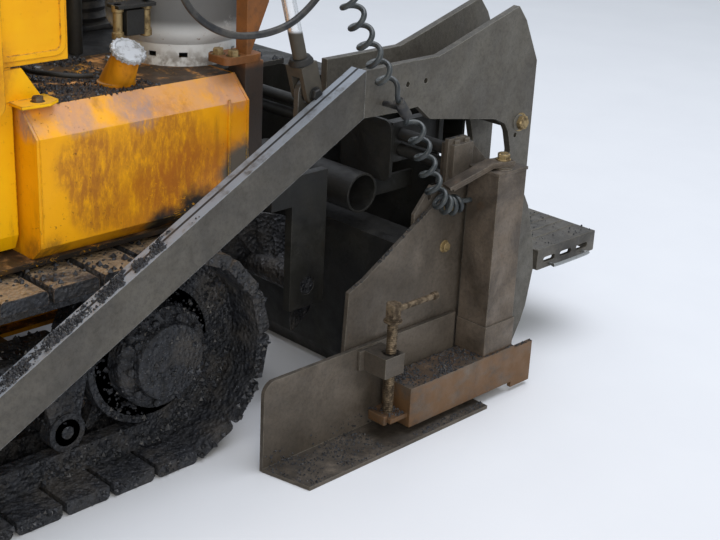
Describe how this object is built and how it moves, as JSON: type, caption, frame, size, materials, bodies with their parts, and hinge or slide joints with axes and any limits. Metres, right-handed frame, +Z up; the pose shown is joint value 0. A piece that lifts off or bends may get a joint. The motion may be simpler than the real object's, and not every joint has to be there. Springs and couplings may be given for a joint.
{
  "type": "tracked asphalt paver",
  "caption": "Small tracked asphalt paver: tipping hopper wings, slat conveyor, twin augers, towed floating screed with sliding extensions and end gates with skis.",
  "frame": {"origin": "on the ground under the machine, at the middle of its length and width", "axes": "+Z up, the front with the hopper toward -Y, the machine's left toward +X"},
  "size_m": [2.754, 4.45, 1.69],
  "materials": {
    "frame_paint": "worn yellow paint, stained with oil and asphalt",
    "hopper_paint": "scuffed yellow paint",
    "tank_paint": "orange-yellow paint, brown stains and soot",
    "gate_steel": "dark olive-grey worn steel",
    "rusty_steel": "rust brown over worn steel",
    "dark_steel": "sooty dark steel",
    "worn_steel": "polished by asphalt",
    "track_steel": "coated with asphalt, dusty tops",
    "rod_chrome": "chromed rod",
    "cylinder_white": "dirty white paint",
    "seat_vinyl": "black vinyl",
    "console_plastic": "dark moulded panel",
    "brown_paint": "brown-orange primer, rusty"
  },
  "bodies": {
    "tractor": {"main_frame": "frame_paint", "conveyor": "worn_steel", "hopper_base": "hopper_paint", "push_beam": "frame_paint", "track_left": "track_steel", "track_right": "track_steel", "track_frame_left": "dark_steel", "track_frame_right": "dark_steel", "engine": "dark_steel", "engine_cowls": "tank_paint", "deck": "dark_steel", "side_tank_left": "tank_paint", "side_tank_right": "tank_paint", "fuel_fillers": "brown_paint", "propane_cylinder": "cylinder_white", "lift_posts": "brown_paint", "console": "console_plastic", "seats": "seat_vinyl", "guard_rails": "frame_paint", "auger_frame": "dark_steel"},
    "wing_left": {"hopper_wing_left": "hopper_paint"},
    "wing_right": {"hopper_wing_right": "hopper_paint"},
    "roller_left": {"push_roller_left": "worn_steel"},
    "roller_right": {"push_roller_right": "worn_steel"},
    "hood": {"engine_hood": "tank_paint"},
    "auger_drive_left": {"auger_left": "worn_steel"},
    "auger_drive_right": {"auger_right": "worn_steel"},
    "barrel_left": {"lift_barrel_left": "dark_steel"},
    "barrel_right": {"lift_barrel_right": "dark_steel"},
    "rod_left": {"lift_rod_left": "rod_chrome"},
    "rod_right": {"lift_rod_right": "rod_chrome"},
    "screed": {"tow_arm_left": "gate_steel", "tow_arm_right": "gate_steel", "side_plate_left": "gate_steel", "side_plate_right": "gate_steel", "main_screed": "dark_steel", "burner_tubes": "dark_steel", "walkway": "dark_steel"},
    "extension_left_body": {"extension_left": "dark_steel", "end_plate_left": "gate_steel", "gate_post_left": "rusty_steel", "gate_screw_left": "rusty_steel"},
    "extension_right_body": {"extension_right": "dark_steel", "end_plate_right": "gate_steel", "gate_post_right": "rusty_steel", "gate_screw_right": "rusty_steel"},
    "gate_ski_left": {"ski_left": "gate_steel"},
    "gate_ski_right": {"ski_right": "gate_steel"}
  },
  "joints": [
    {"name": "screed_lift", "type": "hinge", "parent": "tractor", "child": "screed", "pos_m": [0, -0.625, 0.25], "axis": [1, 0, 0], "range_deg": [-2, 8]},
    {"name": "hood_lift", "type": "hinge", "parent": "tractor", "child": "hood", "pos_m": [0, -0.56, 0.98], "axis": [1, 0, 0], "range_deg": [0, 35]},
    {"name": "wing_left_fold", "type": "hinge", "parent": "tractor", "child": "wing_left", "pos_m": [0.534, -1.4, 0.6], "axis": [0, -1, 0], "range_deg": [0, 55]},
    {"name": "roller_left_spin", "type": "hinge", "parent": "tractor", "child": "roller_left", "pos_m": [0.26, -2.15, 0.455], "axis": [1, 0, 0], "continuous": true},
    {"name": "auger_left_spin", "type": "hinge", "parent": "tractor", "child": "auger_drive_left", "pos_m": [0.5, 1.19, 0.33], "axis": [1, 0, 0], "continuous": true},
    {"name": "barrel_left_swing", "type": "hinge", "parent": "tractor", "child": "barrel_left", "pos_m": [1.11, 0.853, 1.638], "axis": [1, 0, 0], "range_deg": [-4, 2]},
    {"name": "rod_left_stroke", "type": "slide", "parent": "barrel_left", "child": "rod_left", "axis": [0, 0.2822, -0.9594], "range_m": [-0.26, 0.07]},
    {"name": "extension_left_out", "type": "slide", "parent": "screed", "child": "extension_left_body", "axis": [1, 0, 0], "range_m": [0, 0.76]},
    {"name": "ski_left_height", "type": "slide", "parent": "extension_left_body", "child": "gate_ski_left", "axis": [0, 0, 1], "range_m": [-0.1, 0.015]},
    {"name": "wing_right_fold", "type": "hinge", "parent": "tractor", "child": "wing_right", "pos_m": [-0.534, -1.4, 0.6], "axis": [0, 1, 0], "range_deg": [0, 55]},
    {"name": "roller_right_spin", "type": "hinge", "parent": "tractor", "child": "roller_right", "pos_m": [-0.26, -2.15, 0.455], "axis": [1, 0, 0], "continuous": true},
    {"name": "auger_right_spin", "type": "hinge", "parent": "tractor", "child": "auger_drive_right", "pos_m": [-0.5, 1.19, 0.33], "axis": [1, 0, 0], "continuous": true},
    {"name": "barrel_right_swing", "type": "hinge", "parent": "tractor", "child": "barrel_right", "pos_m": [-1.11, 0.853, 1.638], "axis": [1, 0, 0], "range_deg": [-4, 2]},
    {"name": "rod_right_stroke", "type": "slide", "parent": "barrel_right", "child": "rod_right", "axis": [0, 0.2822, -0.9594], "range_m": [-0.26, 0.07]},
    {"name": "extension_right_out", "type": "slide", "parent": "screed", "child": "extension_right_body", "axis": [-1, 0, 0], "range_m": [0, 0.76]},
    {"name": "ski_right_height", "type": "slide", "parent": "extension_right_body", "child": "gate_ski_right", "axis": [0, 0, 1], "range_m": [-0.1, 0.015]}
  ],
  "couplings": [
    {"joint": "barrel_left_swing", "follows": "screed_lift", "ratio": -0.42},
    {"joint": "rod_left_stroke", "follows": "screed_lift", "m_per_rad": -1.787},
    {"joint": "barrel_right_swing", "follows": "screed_lift", "ratio": -0.42},
    {"joint": "rod_right_stroke", "follows": "screed_lift", "m_per_rad": -1.787}
  ]
}
